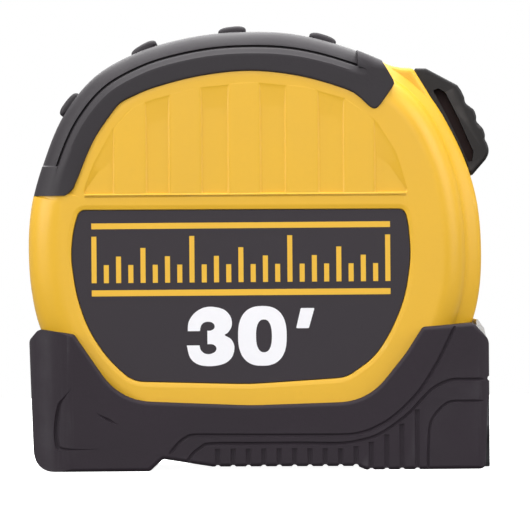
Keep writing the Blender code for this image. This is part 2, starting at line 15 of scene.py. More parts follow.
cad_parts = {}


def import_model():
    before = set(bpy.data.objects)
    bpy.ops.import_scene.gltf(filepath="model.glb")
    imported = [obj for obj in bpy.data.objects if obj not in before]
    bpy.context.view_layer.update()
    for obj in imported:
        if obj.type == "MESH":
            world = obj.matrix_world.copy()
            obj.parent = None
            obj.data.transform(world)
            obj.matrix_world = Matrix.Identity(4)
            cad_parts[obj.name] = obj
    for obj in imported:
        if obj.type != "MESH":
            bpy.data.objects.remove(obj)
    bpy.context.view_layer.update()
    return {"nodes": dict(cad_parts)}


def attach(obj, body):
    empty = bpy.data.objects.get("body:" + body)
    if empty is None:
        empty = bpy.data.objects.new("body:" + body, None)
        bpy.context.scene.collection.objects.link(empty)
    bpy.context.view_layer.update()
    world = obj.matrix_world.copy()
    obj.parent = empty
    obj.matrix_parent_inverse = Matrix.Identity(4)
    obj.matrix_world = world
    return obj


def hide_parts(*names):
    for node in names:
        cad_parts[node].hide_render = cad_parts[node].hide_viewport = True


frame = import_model()
NODES = frame["nodes"]

MM = 0.001
OFFSET = (-0.4, -2.45, 0.0)
REEL_Z = 42.0
PARTING = 0.03
LIP_BACK = -PARTING - 0.01  # how far the rear half's lips cross the parting plane
FACE = 20.5  # the yellow faces
GRIP_FACE = 20.85
BOOT_FACE = 22.6
TRACK_R = 42.6

# The case's edge about the reel's axis: angle from +X in degrees, and radius.
SILHOUETTE = [
    (0, 42.8), (15, 43.0), (30, 43.3), (41, 43.9), (50, 43.6), (58, 42.6), (68, 41.8),
    (80, 41.4), (93, 41.3), (108, 42.2), (122, 43.8), (133, 44.9), (145, 44.6),
    (157, 43.7), (168, 43.5), (181, 43.3), (190, 43.5), (200, 43.8), (222, 43.0),
    (250, 40.3), (270, 39.4), (290, 40.3), (318, 43.0), (341, 43.4),
]  # fmt: skip


# Outlines in x and z


def polar(radius, degrees):
    a = math.radians(degrees)
    return np.array((radius * math.cos(a), REEL_Z + radius * math.sin(a)))


def arc(radius, start, end, steps):
    return [polar(radius, start + (end - start) * i / steps) for i in range(steps + 1)]


def step(low, high, value):
    """0 below low, 1 above high, and smooth between them."""
    t = np.clip((value - low) / (high - low), 0, 1)
    return t * t * (3 - 2 * t)


def edge_radius(degrees):
    degrees %= 360
    n = len(SILHOUETTE)
    knots = [(a + 360 * turn, r) for turn in (-1, 0, 1) for a, r in SILHOUETTE]
    i = max(k for k in range(n - 1, 2 * n + 1) if knots[k][0] <= degrees)
    (a0, r0), (a1, r1), (a2, r2), (a3, r3) = knots[i - 1 : i + 3]
    span = a2 - a1
    s1, s2 = (r2 - r0) / (a2 - a0) * span, (r3 - r1) / (a3 - a1) * span
    t = (degrees - a1) / span
    return (
        (2 * t**3 - 3 * t**2 + 1) * r1 + (t**3 - 2 * t**2 + t) * s1
        + (3 * t**2 - 2 * t**3) * r2 + (t**3 - t**2) * s2
    )  # fmt: skip


def rounded(corners, turn=6.0):
    """A polygon with its corners rounded: x, z and radius for each."""
    made = []
    for i, (x, z, radius) in enumerate(corners):
        here = Vector((x, z))
        back = Vector(corners[i - 1][:2]) - here
        ahead = Vector(corners[(i + 1) % len(corners)][:2]) - here
        half = back.angle(ahead) / 2
        reach = min(radius / math.tan(half), 0.48 * back.length, 0.48 * ahead.length)
        if reach < 0.03:
            made.append((x, z))
            continue
        start, end = here + back.normalized() * reach, here + ahead.normalized() * reach
        steps = max(2, math.ceil(math.degrees(math.pi - 2 * half) / turn))
        for k in range(steps + 1):
            t = k / steps
            made.append(tuple(start * (1 - t) ** 2 + here * (2 * t * (1 - t)) + end * t**2))
    return anticlockwise(np.array(made))


def anticlockwise(outline):
    x, z = outline[:, 0], outline[:, 1]
    area = np.sum(x * np.roll(z, -1) - np.roll(x, -1) * z)
    return outline if area > 0 else outline[::-1]


def through(points, per=6):
    """A smooth line through points."""
    p = np.array(points, float)
    n = len(p)
    made = []
    for i in range(n - 1):
        a, b, c, d = (p[min(max(j, 0), n - 1)] for j in (i - 1, i, i + 1, i + 2))
        for k in range(per):
            t = k / per
            made.append(
                0.5 * (2 * b + (c - a) * t + (2 * a - 5 * b + 4 * c - d) * t**2
                + (3 * b - a - 3 * c + d) * t**3)
            )  # fmt: skip
    made.append(p[-1])
    return np.array(made)


def offset(outline, inward):
    """The closed outline moved in by a distance, or by one for each of its points."""
    along = np.roll(outline, -1, 0) - np.roll(outline, 1, 0)
    along /= np.linalg.norm(along, axis=1)[:, None]
    normal = np.stack([-along[:, 1], along[:, 0]], 1)
    moved = outline + normal * (np.ones(len(outline)) * inward)[:, None]
    n = len(moved)
    old, new = np.roll(outline, -1, 0) - outline, np.roll(moved, -1, 0) - moved
    turned = np.sum(old * new, 1) <= 0
    if not turned.any() or turned.all():
        return moved
    # A corner tighter than the move folds over: its points meet where the lines beside it cross.
    first = next(i for i in range(n) if not turned[i])
    i = first
    while i < first + n:
        if not turned[i % n]:
            i += 1
            continue
        start = i
        while turned[i % n]:
            i += 1
        p, u = moved[(start - 1) % n], new[(start - 1) % n]
        q, v = moved[i % n], new[i % n]
        across = u[0] * v[1] - u[1] * v[0]
        if abs(across) > 1e-9:
            t = ((q[0] - p[0]) * v[1] - (q[1] - p[1]) * v[0]) / across
            for k in range(start, i + 1):
                moved[k % n] = p + u * t
    return moved


def ellipse(x, z, rx, rz, power=2.0, steps=56):
    a = np.linspace(0, 2 * math.pi, steps, endpoint=False)
    c, s = np.cos(a), np.sin(a)
    xs = x + rx * np.sign(c) * abs(c) ** (2 / power)
    zs = z + rz * np.sign(s) * abs(s) ** (2 / power)
    return np.stack([xs, zs], 1)


# Meshes


class Form:
    """Vertices and faces in millimetres, as x, y outwards and z."""

    def __init__(self):
        self.verts, self.faces = [], []

    def ring(self, xz, y):
        ys = np.ones(len(xz)) * y
        start = len(self.verts)
        self.verts += [(p[0], q, p[1]) for p, q in zip(xz, ys)]
        return list(range(start, len(self.verts)))

    def bridge(self, a, b):
        """Faces between two closed rings of as many points."""
        for i in range(len(a)):
            j = (i + 1) % len(a)
            self.faces.append((a[i], a[j], b[j], b[i]))

    def cap(self, *loops):
        flat = [[Vector((self.verts[i][0], self.verts[i][2], 0)) for i in loop] for loop in loops]
        ids = [i for loop in loops for i in loop]
        self.faces += [tuple(ids[k] for k in t) for t in tessellate_polygon(flat)]

    def add(self, other):
        start = len(self.verts)
        self.verts += other.verts
        self.faces += [tuple(i + start for i in f) for f in other.faces]
        return self


def rounding(radius, steps):
    """How far in and how far down a rounded edge is, from its wall to its face."""
    angles = [math.pi / 2 * k / steps for k in range(steps + 1)]
    return [(radius * (1 - math.cos(a)), radius * (1 - math.sin(a))) for a in angles]


def slab(outline, back, face, edge=0.3, steps=4):
    """A flat solid with a rounded edge at its face."""
    form = Form()
    rings = [form.ring(outline, back)]
    rings += [form.ring(offset(outline, i), face - d) for i, d in rounding(edge, steps)]
    for a, b in zip(rings, rings[1:]):
        form.bridge(a, b)
    form.cap(rings[-1])
    form.cap(rings[0])
    return form


def plain_slab(outline, back, face):
    """A flat solid with sharp edges, as a cutter."""
    return slab(outline, back, face, edge=0.001, steps=1)


def pipe(path, radius, sides=10):
    """A round bar along a line in space, closed at its ends. radius may be one for each point."""
    p = np.array(path, float)
    r = np.ones(len(p)) * radius
    along = np.gradient(p, axis=0)
    along /= np.linalg.norm(along, axis=1)[:, None]
    up = np.cross(along[0], (0.31, 0.17, 0.93))
    form = Form()
    rings = []
    for i in range(len(p)):
        up = up - along[i] * (up @ along[i])
        up /= np.linalg.norm(up)
        over = np.cross(along[i], up)
        start = len(form.verts)
        for k in range(sides):
            a = 2 * math.pi * (k + 0.5) / sides
            form.verts.append(tuple(p[i] + r[i] * (math.cos(a) * up + math.sin(a) * over)))
        rings.append(list(range(start, start + sides)))
    for a, b in zip(rings, rings[1:]):
        form.bridge(a, b)
    form.faces += [tuple(rings[0]), tuple(rings[-1])]
    return form


def brick(x0, x1, y0, y1, z0, z1):
    return plain_slab(np.array([(x0, z0), (x1, z0), (x1, z1), (x0, z1)], float), y0, y1)


def join(*forms):
    whole = Form()
    for form in forms:
        whole.add(form)
    return whole


def mesh_of(name, form, side=1):
    """An object from a form. Side -1 is the front half, whose y runs the other way."""
    mesh = bpy.data.meshes.new(name)
    mesh.from_pydata(
        [
            ((x + OFFSET[0]) * MM, (side * y + OFFSET[1]) * MM, (z + OFFSET[2]) * MM)
            for x, y, z in form.verts
        ],
        [],
        form.faces,
    )
    shape = bmesh.new()
    shape.from_mesh(mesh)
    bmesh.ops.remove_doubles(shape, verts=shape.verts, dist=1e-7)
    bmesh.ops.recalc_face_normals(shape, faces=shape.faces)
    shape.to_mesh(mesh)
    shape.free()
    obj = bpy.data.objects.new(name, mesh)
    bpy.context.scene.collection.objects.link(obj)
    return obj


def cut(obj, *forms, side=1, operation="DIFFERENCE"):
    """Takes each form away from the object, or keeps what lies inside it."""
    for form in forms:
        cutter = mesh_of(obj.name + ".cutter", form, side)
        modifier = obj.modifiers.new("cut", "BOOLEAN")
        modifier.operation, modifier.solver, modifier.object = operation, "EXACT", cutter
        graph = bpy.context.evaluated_depsgraph_get()
        mesh = bpy.data.meshes.new_from_object(obj.evaluated_get(graph))
        obj.modifiers.clear()
        obj.data = mesh
        bpy.data.objects.remove(cutter)


def soften(obj, degrees=32):
    """Smooth shading, apart from edges sharper than that, with each flat face in one piece."""
    mesh = obj.data
    shape = bmesh.new()
    shape.from_mesh(mesh)
    bmesh.ops.dissolve_limit(
        shape, angle_limit=math.radians(0.25), use_dissolve_boundaries=False,
        verts=shape.verts, edges=shape.edges, delimit={"NORMAL"},
    )  # fmt: skip
    shape.to_mesh(mesh)
    shape.free()
    mesh.polygons.foreach_set("use_smooth", [True] * len(mesh.polygons))
    mesh.set_sharp_from_angle(angle=math.radians(degrees))
    modifier = obj.modifiers.new("normals", "WEIGHTED_NORMAL")
    modifier.keep_sharp = True
    modifier.weight = 80


def merge(obj, extra):
    """Adds the other object's faces to the object, and removes the other."""
    whole = bmesh.new()
    whole.from_mesh(obj.data)
    whole.from_mesh(extra.data)
    whole.to_mesh(obj.data)
    whole.free()
    bpy.data.objects.remove(extra)


def lip(obj, outline, *openings):
    """A lip on the rear half across the parting line, so that no light shows through it."""
    inner = mesh_of("lip", plain_slab(outline, LIP_BACK, 3))
    cut(inner, *openings)
    merge(obj, inner)


def piece(obj, body, material, *nodes, sharp=32):
    soften(obj, sharp)
    obj.data.materials.clear()
    obj.data.materials.append(MATERIALS[material])
    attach(obj, body)
    if nodes:
        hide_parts(*nodes)
    return obj


# Materials


def graduations(nodes, links, where):
    """1 on the blade's printed lines: each eighth of an inch, longer at quarters, halves and inches."""
    parts = nodes.new("ShaderNodeSeparateXYZ")
    links.new(where, parts.inputs["Vector"])

    def math_node(kind, a, b):
        node = nodes.new("ShaderNodeMath")
        node.operation = kind
        for socket, value in zip(node.inputs, (a, b)):
            if isinstance(value, bpy.types.NodeSocket):
                links.new(value, socket)
            else:
                socket.default_value = value
        return node.outputs[0]

    from_middle = math_node("ABSOLUTE", math_node("SUBTRACT", parts.outputs["Y"], OFFSET[1] * MM), 0)
    printed = None
    for gap, reach in ((25.4, 9.5), (12.7, 6.5), (6.35, 4.8), (3.175, 3.2)):
        along = math_node("ADD", parts.outputs["X"], 0.5 + 0.15 * MM)
        near = math_node("LESS_THAN", math_node("MODULO", along, gap * MM), 0.32 * MM)
        line = math_node("MULTIPLY", near, math_node("GREATER_THAN", from_middle, (14.3 - reach) * MM))
        printed = line if printed is None else math_node("MAXIMUM", printed, line)
    return printed


def build_material(name, base, roughness, *, spread=0.04, grain=900.0, bump=0.02, edge_wear_and_highlight=None,
                   edge_wear_and_highlight_amount=0.0, metallic=0.0, coat=0.0, specular=0.5, brushed=None, grime=0.0,
                   graduated=False):  # fmt: skip
    """Moulded or finished stuff: cloudy colour, fine grain, uneven gloss, and sharp edges painted lighter,
    partly as rubbed wear and partly as painted highlight.
    """
    material = bpy.data.materials.new(name)
    material.use_nodes = True
    nodes, links = material.node_tree.nodes, material.node_tree.links
    shader = nodes["Principled BSDF"]
    shader.inputs["Metallic"].default_value = metallic
    shader.inputs["Coat Weight"].default_value = coat
    shader.inputs["Coat Roughness"].default_value = 0.12
    shader.inputs["Specular IOR Level"].default_value = specular
    where = nodes.new("ShaderNodeTexCoord").outputs["Object"]
    if brushed:
        stretch = nodes.new("ShaderNodeMapping")
        stretch.inputs["Scale"].default_value = brushed
        links.new(where, stretch.inputs["Vector"])
        grain_at = stretch.outputs["Vector"]
    else:
        grain_at = where

    def noise(scale, detail, vector):
        node = nodes.new("ShaderNodeTexNoise")
        node.inputs["Scale"].default_value = scale
        node.inputs["Detail"].default_value = detail
        links.new(vector, node.inputs["Vector"])
        return node.outputs["Fac"]

    def ramp(value, low, high, a, b):
        node = nodes.new("ShaderNodeMapRange")
        for key, number in (("From Min", low), ("From Max", high), ("To Min", a), ("To Max", b)):
            node.inputs[key].default_value = number
        links.new(value, node.inputs["Value"])
        return node.outputs["Result"]

    def mix(kind, factor, a, b):
        node = nodes.new("ShaderNodeMix")
        node.data_type, node.blend_type = "RGBA", kind
        first, second = node.inputs[6], node.inputs[7]  # the colour sockets of a Mix node
        for socket, value in ((node.inputs["Factor"], factor), (first, a), (second, b)):
            if isinstance(value, bpy.types.NodeSocket):
                links.new(value, socket)
            elif socket is node.inputs["Factor"]:
                socket.default_value = value
            else:
                socket.default_value = (*value, 1)
        return node.outputs[2]

    clouds = noise(60, 4, where)
    fine = noise(grain, 3, grain_at)
    dark = tuple(c * (1 - 2 * spread) for c in base)
    light = tuple(min(1, c * (1 + 2 * spread)) for c in base)
    colour = mix("MIX", ramp(clouds, 0.3, 0.7, 0, 1), dark, light)
    colour = mix("MIX", ramp(fine, 0.35, 0.75, 0, 0.35), colour, dark)
    if grime:
        specks = ramp(noise(380, 5, where), 0.62, 0.78, 0, grime)
        colour = mix("MIX", specks, colour, tuple(c * 0.6 for c in base))
    gloss = ramp(clouds, 0.25, 0.75, roughness - 0.05, roughness + 0.06)
    # Sharp convex edges are painted lighter: partly rubbed wear, partly a painted highlight where the
    # edges catch the light.
    if edge_wear_and_highlight:
        edges = nodes.new("ShaderNodeNewGeometry").outputs["Pointiness"]
        rubbed_and_highlit = ramp(edges, 0.53, 0.62, 0, edge_wear_and_highlight_amount)
        patchy = nodes.new("ShaderNodeMath")
        patchy.operation = "MULTIPLY"
        links.new(rubbed_and_highlit, patchy.inputs[0])
        links.new(ramp(noise(220, 5, where), 0.35, 0.65, 0.2, 1), patchy.inputs[1])
        colour = mix("MIX", patchy.outputs[0], colour, edge_wear_and_highlight)
    if graduated:
        colour = mix("MIX", graduations(nodes, links, where), colour, linear(20, 19, 20))
    links.new(colour, shader.inputs["Base Color"])
    links.new(gloss, shader.inputs["Roughness"])
    height = nodes.new("ShaderNodeBump")
    height.inputs["Strength"].default_value = 0.6
    height.inputs["Distance"].default_value = bump * MM
    links.new(fine, height.inputs["Height"])
    links.new(height.outputs["Normal"], shader.inputs["Normal"])
    return material


def linear(*srgb):
    return tuple(((c / 255 + 0.055) / 1.055) ** 2.4 if c > 10 else c / 255 / 12.92 for c in srgb)


MATERIALS = {
    # The lighter edge colour of each finish is partly rubbed wear and partly a painted highlight on the
    # rims.
    "yellow_abs": build_material("yellow_abs", linear(233, 181, 41), 0.38, spread=0.012, grain=1500,
                                 bump=0.012, edge_wear_and_highlight=linear(246, 208, 120), edge_wear_and_highlight_amount=0.35, grime=0.05),
    "black_rubber": build_material("black_rubber", linear(41, 36, 41), 0.6, spread=0.06, grain=1900,
                                   bump=0.03, specular=0.45, edge_wear_and_highlight=linear(96, 95, 98), edge_wear_and_highlight_amount=0.4, grime=0.2),
    "boot_rubber": build_material("boot_rubber", linear(43, 35, 43), 0.6, spread=0.06, grain=1900,
                                  bump=0.03, specular=0.3, edge_wear_and_highlight=linear(88, 86, 90), edge_wear_and_highlight_amount=0.3, grime=0.2),
    "black_plastic": build_material("black_plastic", linear(19, 15, 16), 0.42, spread=0.05, grain=1700,
                                    bump=0.015, specular=0.4, edge_wear_and_highlight=linear(104, 102, 104), edge_wear_and_highlight_amount=0.4),
    "label_print": build_material("label_print", linear(44, 37, 44), 0.5, specular=0.42, spread=0.03,
                                  grain=2600, bump=0.006, grime=0.1),
    "yellow_ink": build_material("yellow_ink", linear(238, 186, 52), 0.5, spread=0.015, grain=2600,
                                 bump=0.006),
    "white_ink": build_material("white_ink", linear(247, 246, 250), 0.5, spread=0.012, grain=2600,
                                bump=0.006),
    # Painted shade: a dark warm brown standing in for the shadowed gap in the button's flank beside the
    # case.
    "recess": build_material("recess", linear(72, 57, 56), 0.7, spread=0.05, grain=1700, bump=0.015,
                             specular=0.15),
    "natural_nylon": build_material("natural_nylon", linear(222, 221, 219), 0.42, spread=0.012,
                                    grain=1200, bump=0.01),
    "spring_steel": build_material("spring_steel", linear(176, 178, 182), 0.3, spread=0.05, grain=500,
                                   bump=0.01, metallic=1.0, brushed=(1, 14, 1)),
    "blade_coating": build_material("blade_coating", linear(236, 190, 60), 0.3, spread=0.015, grain=1200,
                                    bump=0.006, coat=0.4, graduated=True),
    "blackened_steel": build_material("blackened_steel", linear(46, 45, 47), 0.36, spread=0.1, grain=700,
                                      bump=0.015, metallic=0.85, edge_wear_and_highlight=linear(150, 150, 154), edge_wear_and_highlight_amount=0.5),
}  # fmt: skip

# The case halves

COVERED = (55.9, 163.5)  # degrees of the rim under the top grip
GRIP_END = 166.3
TRACK = (8.5, 49.5)


def rim_section(degrees):
    """(radius, y) from the parting plane, over the rim, to the face."""
    turn = (degrees + 180) % 360 - 180
    r = edge_radius(degrees)
    covered = COVERED[0] < turn < COVERED[1]
    r -= 2.8 if covered else 0.35 if COVERED[1] < turn < GRIP_END else 0
    # On the button's side a middle band stands proud, with a valley along it.
    right = 0 if covered else float(step(-46, -24, turn) * (1 - step(56, 66, turn)))
    drop = right * (3.2 - 0.8 * float(step(10, 35, turn)))
    rim = 6.0 if covered else 6.6 - 1.9 * right
    floor = min(r, TRACK_R) if TRACK[0] < turn < TRACK[1] else r
    section = [(floor - 0.15, PARTING), (floor, PARTING + 0.15), (floor, 9.74), (r, 9.8), (r, 11.4)]
    valley = 14.2 + 1.1 * right
    for k in range(1, 9):
        section.append((r - drop * float(step(0, 1, k / 8)), 11.4 + (valley - 11.4) * k / 8))
    start = valley + 0.2
    for k in range(1, 11):
        a = math.pi / 2 * k / 10
        section.append((r - drop - rim * (1 - math.cos(a)), start + (FACE - start) * math.sin(a)))
    return section, r - drop


LABEL = rounded([
    (-33.45, 49.4, 1.6), (-34.6, 45.6, 30), (-35.1, 40.6, 30), (-34.1, 33.4, 30), (-32.0, 27.0, 30),
    (-28.3, 21.3, 25), (-23.6, 17.0, 6), (-1.4, 16.35, 60), (16.8, 17.45, 6), (22.2, 21.2, 25),
    (25.3, 26.0, 30), (28.05, 32.5, 30), (29.2, 40.5, 30), (28.7, 46.5, 30), (28.05, 49.2, 1.6),
], turn=3)  # fmt: skip
ARCH = [
    (-32.8, 52.2, 0.8), (-30.9, 57.5, 8), (-27.0, 64.6, 12), (-23.6, 68.4, 5), (-19.4, 70.1, 5),
    (-10.5, 72.3, 20), (0, 73.2, 25), (10, 72.1, 20), (17.2, 69.9, 5), (22.6, 66.0, 8),
    (26.6, 59.6, 12), (28.8, 52.2, 0.8),
]  # fmt: skip
PANEL = rounded(ARCH, turn=4)
STRIPES = [(-26.9, -20.7), (-16.4, -10.2), (-5.2, 0.9), (5.6, 11.9), (16.6, 22.5)]
FLOOR = 0.3  # how deep the panel is
MOUTH = brick(14, 60, -1, 15.5, 8, 17)
SCREWS = [(-35.0, 9.0), (22.0, 5.7), (-28.8, 70.9), (17.0, 75.6)]
SCREW_HOLES = [plain_slab(ellipse(x, z, 2.95, 2.95), 18.3, 30) for x, z in SCREWS]
# Walls of the face's recesses: how far out of the outline, and how far down. The label's has a
# chamfer. The panel's slopes gently at its top.
LABEL_WALLS = ((1.05, 0), (0.9, 0.01), (0.3, 0.09), (0.12, 0.14), (0.06, 0.9))
PANEL_WALLS = (
    (0.3, 0), (0.05, 0.03), (-0.1, 0.08), (-0.8, 0.14), (-2.2, 0.2), (-3.6, 0.27), (-4.4, FLOOR),
)  # fmt: skip
PANEL_LEDGE = rounded([(-32.6, 51.75, 0.3), (28.6, 51.75, 0.3), (28.5, 52.5, 0.3), (-32.5, 52.5, 0.3)])
CLIP_PAD = rounded([
    (-11.5, 52.6, 1), (11.5, 52.6, 1), (11.5, 71.0, 1), (0, 72.4, 10), (-11.5, 71.2, 1),
])  # fmt: skip
# The raised edge beside the thumb button.
HORN = rounded([
    (20, 73, 1), (24.2, 77.1, 1.5), (27.6, 76.3, 1.5), (30, 76.2, 1.6), (34, 69.6, 5),
    (37.2, 63.9, 5), (40.5, 56.8, 5), (42.2, 50, 5), (42.5, 46, 1), (40, 46, 1), (38, 56, 5),
    (33.5, 62, 5),
])  # fmt: skip


def top_of(x):
    """The panel's upper edge at x."""
    upper = PANEL[PANEL[:, 1] > 53]
    upper = upper[np.argsort(upper[:, 0])]
    return float(np.interp(x, upper[:, 0], upper[:, 1]))


def bar_on_panel(x0, x1, face):
    """A raised bar of the corrugated panel, cut to the arch at its top."""
    xs = np.linspace(x1 - 0.2, x0 + 0.2, 9)
    top = [(x, top_of(x) + 0.9) for x in xs]
    outline = np.array([(x0, 51.6), (x1, 51.6), (x1, top[0][1] - 0.3), *top, (x0, top[-1][1] - 0.3)])
    return slab(outline, FACE - FLOOR - 0.5, face, edge=0.75, steps=7)


def shell(side):
    # Closer together on the button's side, and in pairs where the rim steps.
    angles = sorted({
        *np.arange(0, 360, 2.5), *np.arange(0, 66, 1.25), *np.arange(310, 360, 1.25),
        *(end + d for end in (*COVERED, GRIP_END, *TRACK) for d in (-0.15, 0.15)),
    })  # fmt: skip
    sections = [rim_section(a) for a in angles]
    form = Form()
    count = len(sections[0][0])
    rings = [
        form.ring(
            [polar(section[k][0], a) for a, (section, _) in zip(angles, sections)],
            [section[k][1] for section, _ in sections],
        )
        for k in range(count)
    ]
    for a, b in zip(rings, rings[1:]):
        form.bridge(a, b)
    lips = []
    ramp = 0.05 + 0.95 * step(53, 64, PANEL[:, 1])  # the slope is short at the panel's foot
    for outline, walls, reach in ((LABEL, LABEL_WALLS, 1), (PANEL, PANEL_WALLS, ramp)):
        hole = [
            form.ring(offset(outline, -out * (reach if out < 0 else 1)), FACE - down)
            for out, down in walls
        ]
        for a, b in zip(hole, hole[1:]):
            form.bridge(a, b)
        form.cap(hole[-1])
        lips.append(hole[0])
    form.cap(rings[-1], *lips)
    inside = [
        form.ring([polar(s[1] - inset, a) for a, s in zip(angles, sections)], y)
        for inset, y in ((2.6, PARTING), (2.6, 12.5), (3.6, 15.8), (6.5, 17.6))
    ]
    form.bridge(rings[0], inside[0])
    for a, b in zip(inside, inside[1:]):
        form.bridge(a, b)
    form.cap(inside[-1])
    name = "front_shell" if side < 0 else "rear_shell"
    obj = mesh_of(name + "_skin", form, side)
    cut(obj, MOUTH, *(SCREW_HOLES if side > 0 else ()), side=side)
    bars = [bar_on_panel(a - 0.3, b + 0.3, FACE + 0.02) for a, b in STRIPES]
    ledge = slab(PANEL_LEDGE, FACE - 0.5, FACE + 0.16, edge=0.34, steps=5)
    if side < 0:
        bars.append(ledge)
    else:
        # The clip's pad takes the place of the middle bars.
        bars = [bars[0], ledge, slab(CLIP_PAD, FACE - FLOOR - 0.3, FACE + 0.27, edge=0.4), bars[4]]
    merge(obj, mesh_of("extra", join(*bars, slab(HORN, 10.2, 12.7, edge=1.25, steps=5)), side))
    return piece(obj, "case", "yellow_abs", name)


# The grip over the top

GRIP_INNER = [
    (166.4, -36.1, 52.2), (164.5, -34.7, 53.2), (161.5, -33.6, 55.6), (155, -31.8, 60.0),
    (148, -30.0, 63.6), (140, -27.5, 67.2), (134, -25.6, 69.5), (128, -23.4, 70.7),
    (119, -18.9, 72.5), (106, -10.4, 74.6), (91, -0.9, 75.5), (78, 8.6, 74.4), (66, 17.1, 71.9),
    (63, 19.5, 70.5), (61.5, 20.9, 69.2), (60.6, 21.7, 68.5), (59.8, 22.35, 68.2), (59.0, 23.0, 68.3),
    (58.2, 23.8, 69.1), (57.4, 25.1, 71.0), (56.9, 26.0, 72.3), (56.5, 26.3, 73.0), (56.3, 26.15, 73.6),
    (56.1, 25.75, 74.3),
]  # fmt: skip
TREAD = [
    (0.15, PARTING), (0, PARTING + 0.15), (0, 6), (0, 11.6), (0.1, 13.8), (0.38, 15.5), (0.85, 16.8),
    (1.5, 17.8), (2.3, 18.55), (2.75, 18.75), (2.88, 18.45), (2.95, 18.0), (3.1, 18.0), (3.18, 18.7),
    (3.3, 19.6), (3.5, 19.95), (4.0, 20.3), (4.4, 20.75), (4.9, GRIP_FACE),
]  # fmt: skip


# Angles of the grip's sections, closer together at its ends.
GRIP_ANGLES = np.array([
    56.1, 56.2, 56.3, 56.4, 56.5, 56.7, 56.9, 57.1, *np.arange(57.4, 62.3, 0.4), 62.6, 62.85, 63.1,
    *np.arange(64, 158, 1.8), 158.5, 158.8, 159.1, 160, 162, 164, 165.5, 166.0, 166.4,
])  # fmt: skip
TREAD_ENDS = (62.7, 158.7)
GRIP_BARS = (72, 96, 119, 142)  # angles of the raised bars over the top


def plain_edge(inset, a):
    """y of the grip's edge without its tread: as round as the rim at the left, tighter at the right."""
    reach, fall = (6.9, 6.5) if a > 110 else (2.4, 3.0)
    return GRIP_FACE - fall * (1 - math.sqrt(1 - (1 - min(inset / reach, 1)) ** 2))


def grip(side):
    bends = through(GRIP_INNER, 6)[::-1]
    form = Form()
    loops = []
    for a in GRIP_ANGLES:
        outer = polar(edge_radius(a), a)
        inner = np.array([np.interp(a, bends[:, 0], bends[:, k]) for k in (1, 2)])
        width = np.linalg.norm(inner - outer)
        along = (inner - outer) / width
        past_tread = float(a > TREAD_ENDS[1]) + float(a < TREAD_ENDS[0])
        fading = float(step(150, 165, a)) + 1 - float(step(60, 66, a))
        points = [*TREAD, (width - 0.6, GRIP_FACE), (width - 0.25, GRIP_FACE - 0.08),
                  (width - 0.05, GRIP_FACE - 0.3), (width, GRIP_FACE - 0.9)]  # fmt: skip
        section = []
        for k, (inset, y) in enumerate(points):
            inset = min(inset, width - 0.65) if k < len(TREAD) else inset
            plain = plain_edge(inset, a) if 3 < k < len(TREAD) + 1 else y
            weight = past_tread if inset < 3.19 and k < len(TREAD) else fading
            section.append((inset, y + (plain - y) * weight))
        section += [(width - 0.3, 18.2), (3.4, 12.5), (2.6, 8), (2.6, PARTING)]
        start = len(form.verts)
        for inset, y in section:
            x, z = outer + along * inset
            form.verts.append((x, y, z))
        loops.append(list(range(start, len(form.verts))))
    for a, b in zip(loops, loops[1:]):
        form.bridge(a, b)
    form.faces += [tuple(loops[0]), tuple(loops[-1])]
    name = "front_top_grip" if side < 0 else "rear_top_grip"
    obj = mesh_of(name + "_skin", form, side)
    if side > 0:
        cut(obj, *SCREW_HOLES[2:], side=side)
        span = np.arange(57, 165.1, 1.5)
        lip(obj, anticlockwise(np.array([polar(edge_radius(a) - 0.4, a) for a in span]
                                        + [polar(edge_radius(a) - 2.4, a) for a in span[::-1]])))
    back = PARTING if side < 0 else LIP_BACK
    for a in GRIP_BARS:
        flat = ellipse(0, 0, 2.65, 1.0, power=2.6, steps=40)
        t = math.radians(a - 90)
        turned = np.stack([flat[:, 0] * math.cos(t) - flat[:, 1] * math.sin(t),
                           flat[:, 0] * math.sin(t) + flat[:, 1] * math.cos(t)], 1)  # fmt: skip
        bar = slab(turned + polar(edge_radius(a) + 0.1, a), back, 12.5, edge=0.8, steps=4)
        merge(obj, mesh_of("extra", bar, side))
    return piece(obj, "case", "black_rubber", name)


# The boot round the base

BOOT = rounded([
    (-41.3, 27.0, 1.5), (-43.3, 24.8, 1.5), (-42.4, 0, 4.5), (-20.4, 0, 1.2), (-17.9, 2.3, 0.6),
    (-8.6, 0.8, 1), (18.8, 0.7, 0.6), (20.4, 0, 0.6), (43.0, 0, 1.4), (43.4, 12.4, 1),
    (43.8, 13.3, 0.6), (43.8, 24.4, 2.5), (40.9, 27.6, 1), (31.3, 26.9, 1), (28.0, 21.8, 10),
    (20.8, 12.9, 12), (-1.4, 12.3, 60), (-26, 13.4, 12), (-34.6, 26, 1),
], turn=5)  # fmt: skip
UPPER_GROOVE = [
    (-16.8, 3.1), (-15.2, 5.0), (-13.9, 6.1), (-12.5, 6.7), (-9, 6.75), (0, 6.65), (8, 6.6),
    (16.5, 6.6),
    (19.6, 7.0), (22.3, 8.0), (25.9, 10.2), (30.3, 14.5), (33.5, 19.3), (35.4, 22.9), (37.6, 27.5),
]  # fmt: skip
LOWER_GROOVE = [
    (-13.5, 1.2), (-12.6, 2.9), (-10.8, 4.4), (-8.8, 5.1), (0, 5.1), (8, 5.1), (15.5, 5.0), (19.3, 5.5),
    (23.2, 6.8), (28.1, 10.2), (31.3, 13.5), (33.5, 15.5), (36.6, 16.8), (40, 16.9), (44.5, 16.9),
]  # fmt: skip
PAD_LINE = [
    (-35.2, 15.7), (-36.6, 13.9), (-37.5, 12.3), (-38.1, 8), (-37.9, 5.3), (-37.3, 4.4), (-35, 4.2),
    (-30, 4.2),
]  # fmt: skip
CREASE = [(-30.5, 11.1), (-28.3, 9.8), (-26.2, 8.8)]
